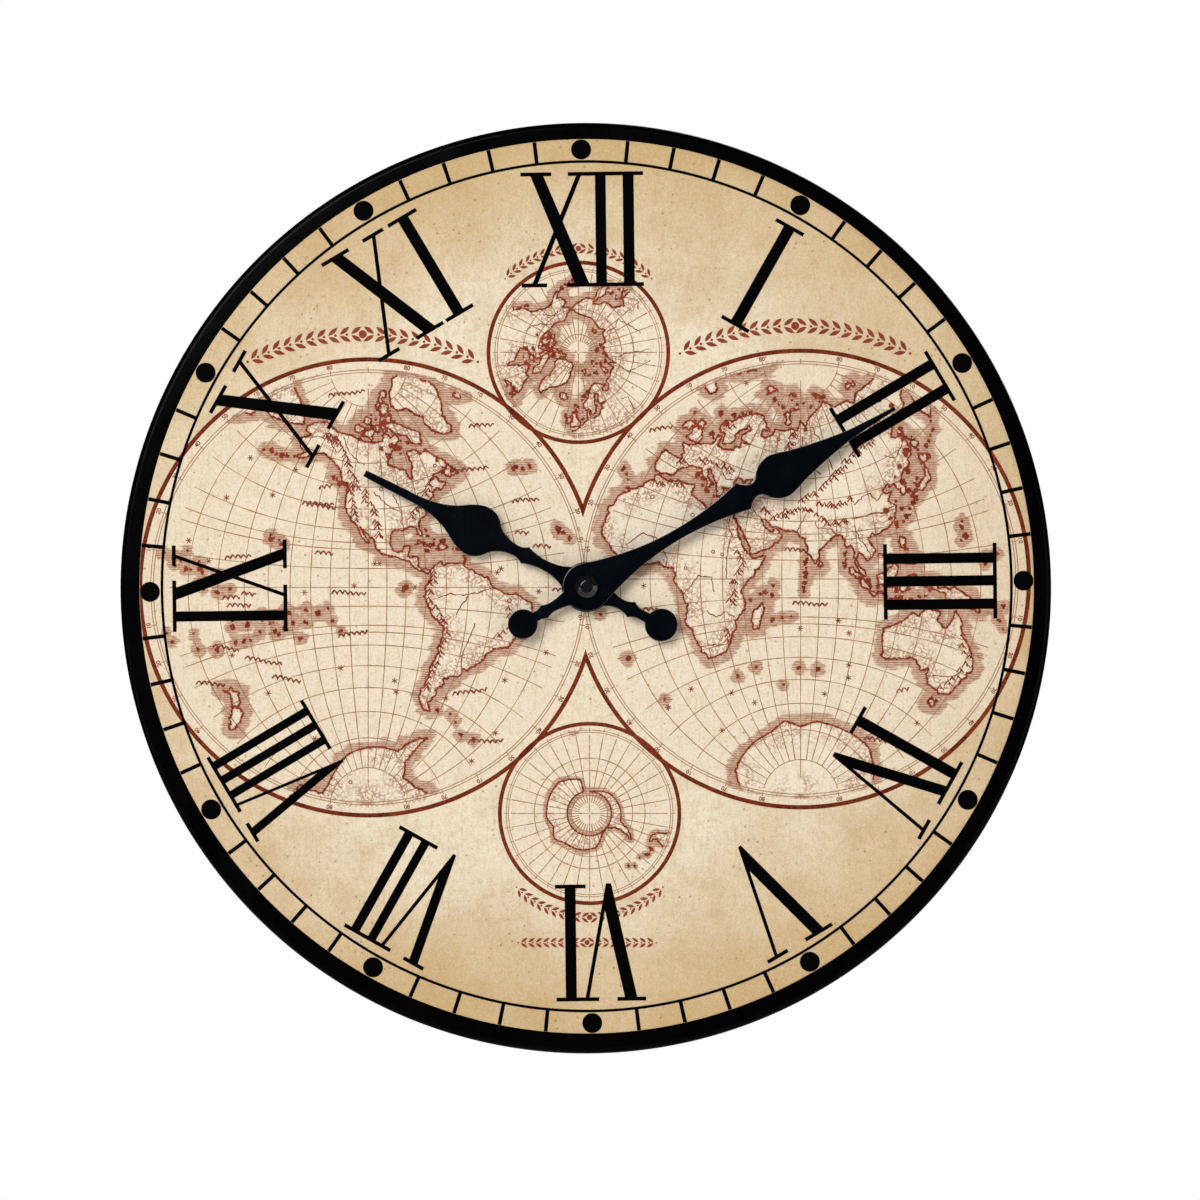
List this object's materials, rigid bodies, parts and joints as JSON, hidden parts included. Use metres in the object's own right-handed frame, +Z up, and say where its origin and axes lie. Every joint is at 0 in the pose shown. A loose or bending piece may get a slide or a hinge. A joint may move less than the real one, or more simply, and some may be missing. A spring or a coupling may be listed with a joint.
{
  "type": "wall clock",
  "caption": "Round wall clock with a printed parchment dial, roman hour ring and hemisphere map on a black-edged board, black spade hands and a battery movement with a hanging loop behind.",
  "frame": {"origin": "on the hands' axis, in the plane of the movement's rear face, which rests on the wall", "axes": "+Z up to twelve o'clock, +X right as seen from the front, +Y into the wall; the dial faces -Y"},
  "size_m": [0.34, 0.0323, 0.34],
  "materials": {
    "board_black": "satin",
    "dial_paper": "matte",
    "gasket_rubber": "matte",
    "brass": "satin",
    "hand_black": "satin",
    "cap_black": "gloss",
    "case_black": "satin",
    "white_nylon": "satin",
    "red_nylon": "satin",
    "magnet_grey": "satin",
    "steel": "satin",
    "copper_wire": "gloss",
    "circuit_brown": "matte",
    "cell_jacket": "gloss"
  },
  "bodies": {
    "clock_body": {"dial_board": "board_black", "dial_print": "dial_paper", "rubber_gasket": "gasket_rubber", "fixing_washer": "brass", "fixing_nut": "brass", "threaded_bushing": "brass", "movement_case": "case_black", "rear_cover": "case_black", "middle_plate": "white_nylon", "stator": "steel", "coil_core": "steel", "coil_bobbin": "white_nylon", "coil_winding": "copper_wire", "circuit_board": "circuit_brown", "chip_cover": "case_black", "crystal_can": "steel", "contact_positive": "steel", "contact_negative": "steel"},
    "minute_group": {"minute_hand": "hand_black", "hand_cap_nut": "cap_black", "minute_arbor": "brass", "centre_wheel": "white_nylon"},
    "hour_group": {"hour_hand": "hand_black", "hour_wheel": "white_nylon"},
    "setting_group": {"minute_work_wheel": "white_nylon", "setting_knob": "case_black"},
    "third_group": {"third_wheel": "white_nylon"},
    "second_group": {"second_wheel": "red_nylon"},
    "intermediate_group": {"intermediate_wheel": "white_nylon"},
    "rotor_group": {"rotor_pinion": "red_nylon", "rotor_magnet": "magnet_grey"},
    "battery_group": {"battery": "cell_jacket"}
  },
  "joints": [
    {"name": "minute_turn", "type": "hinge", "parent": "clock_body", "child": "minute_group", "pos_m": [0, 0, 0], "axis": [0, 1, 0], "continuous": true},
    {"name": "hour_turn", "type": "hinge", "parent": "clock_body", "child": "hour_group", "pos_m": [0, 0, 0], "axis": [0, 1, 0], "continuous": true},
    {"name": "knob_turn", "type": "hinge", "parent": "clock_body", "child": "setting_group", "pos_m": [-0.00984, 0, 0], "axis": [0, 1, 0], "continuous": true},
    {"name": "third_turn", "type": "hinge", "parent": "clock_body", "child": "third_group", "pos_m": [-0.00082, 0, 0.00932], "axis": [0, 1, 0], "continuous": true},
    {"name": "second_turn", "type": "hinge", "parent": "clock_body", "child": "second_group", "pos_m": [0, 0, 0], "axis": [0, 1, 0], "continuous": true},
    {"name": "intermediate_turn", "type": "hinge", "parent": "clock_body", "child": "intermediate_group", "pos_m": [0.00891, 0, 0.00324], "axis": [0, 1, 0], "continuous": true},
    {"name": "rotor_turn", "type": "hinge", "parent": "clock_body", "child": "rotor_group", "pos_m": [0.01507, 0, 0.00324], "axis": [0, 1, 0], "continuous": true},
    {"name": "battery_slide", "type": "slide", "parent": "clock_body", "child": "battery_group", "axis": [0, 1, 0], "range_m": [0, 0.02]}
  ],
  "couplings": [
    {"joint": "hour_turn", "follows": "minute_turn", "ratio": 0.083333},
    {"joint": "knob_turn", "follows": "minute_turn", "ratio": -0.33333},
    {"joint": "third_turn", "follows": "minute_turn", "ratio": -8},
    {"joint": "second_turn", "follows": "minute_turn", "ratio": 60},
    {"joint": "intermediate_turn", "follows": "minute_turn", "ratio": -300},
    {"joint": "rotor_turn", "follows": "minute_turn", "ratio": 1800}
  ]
}
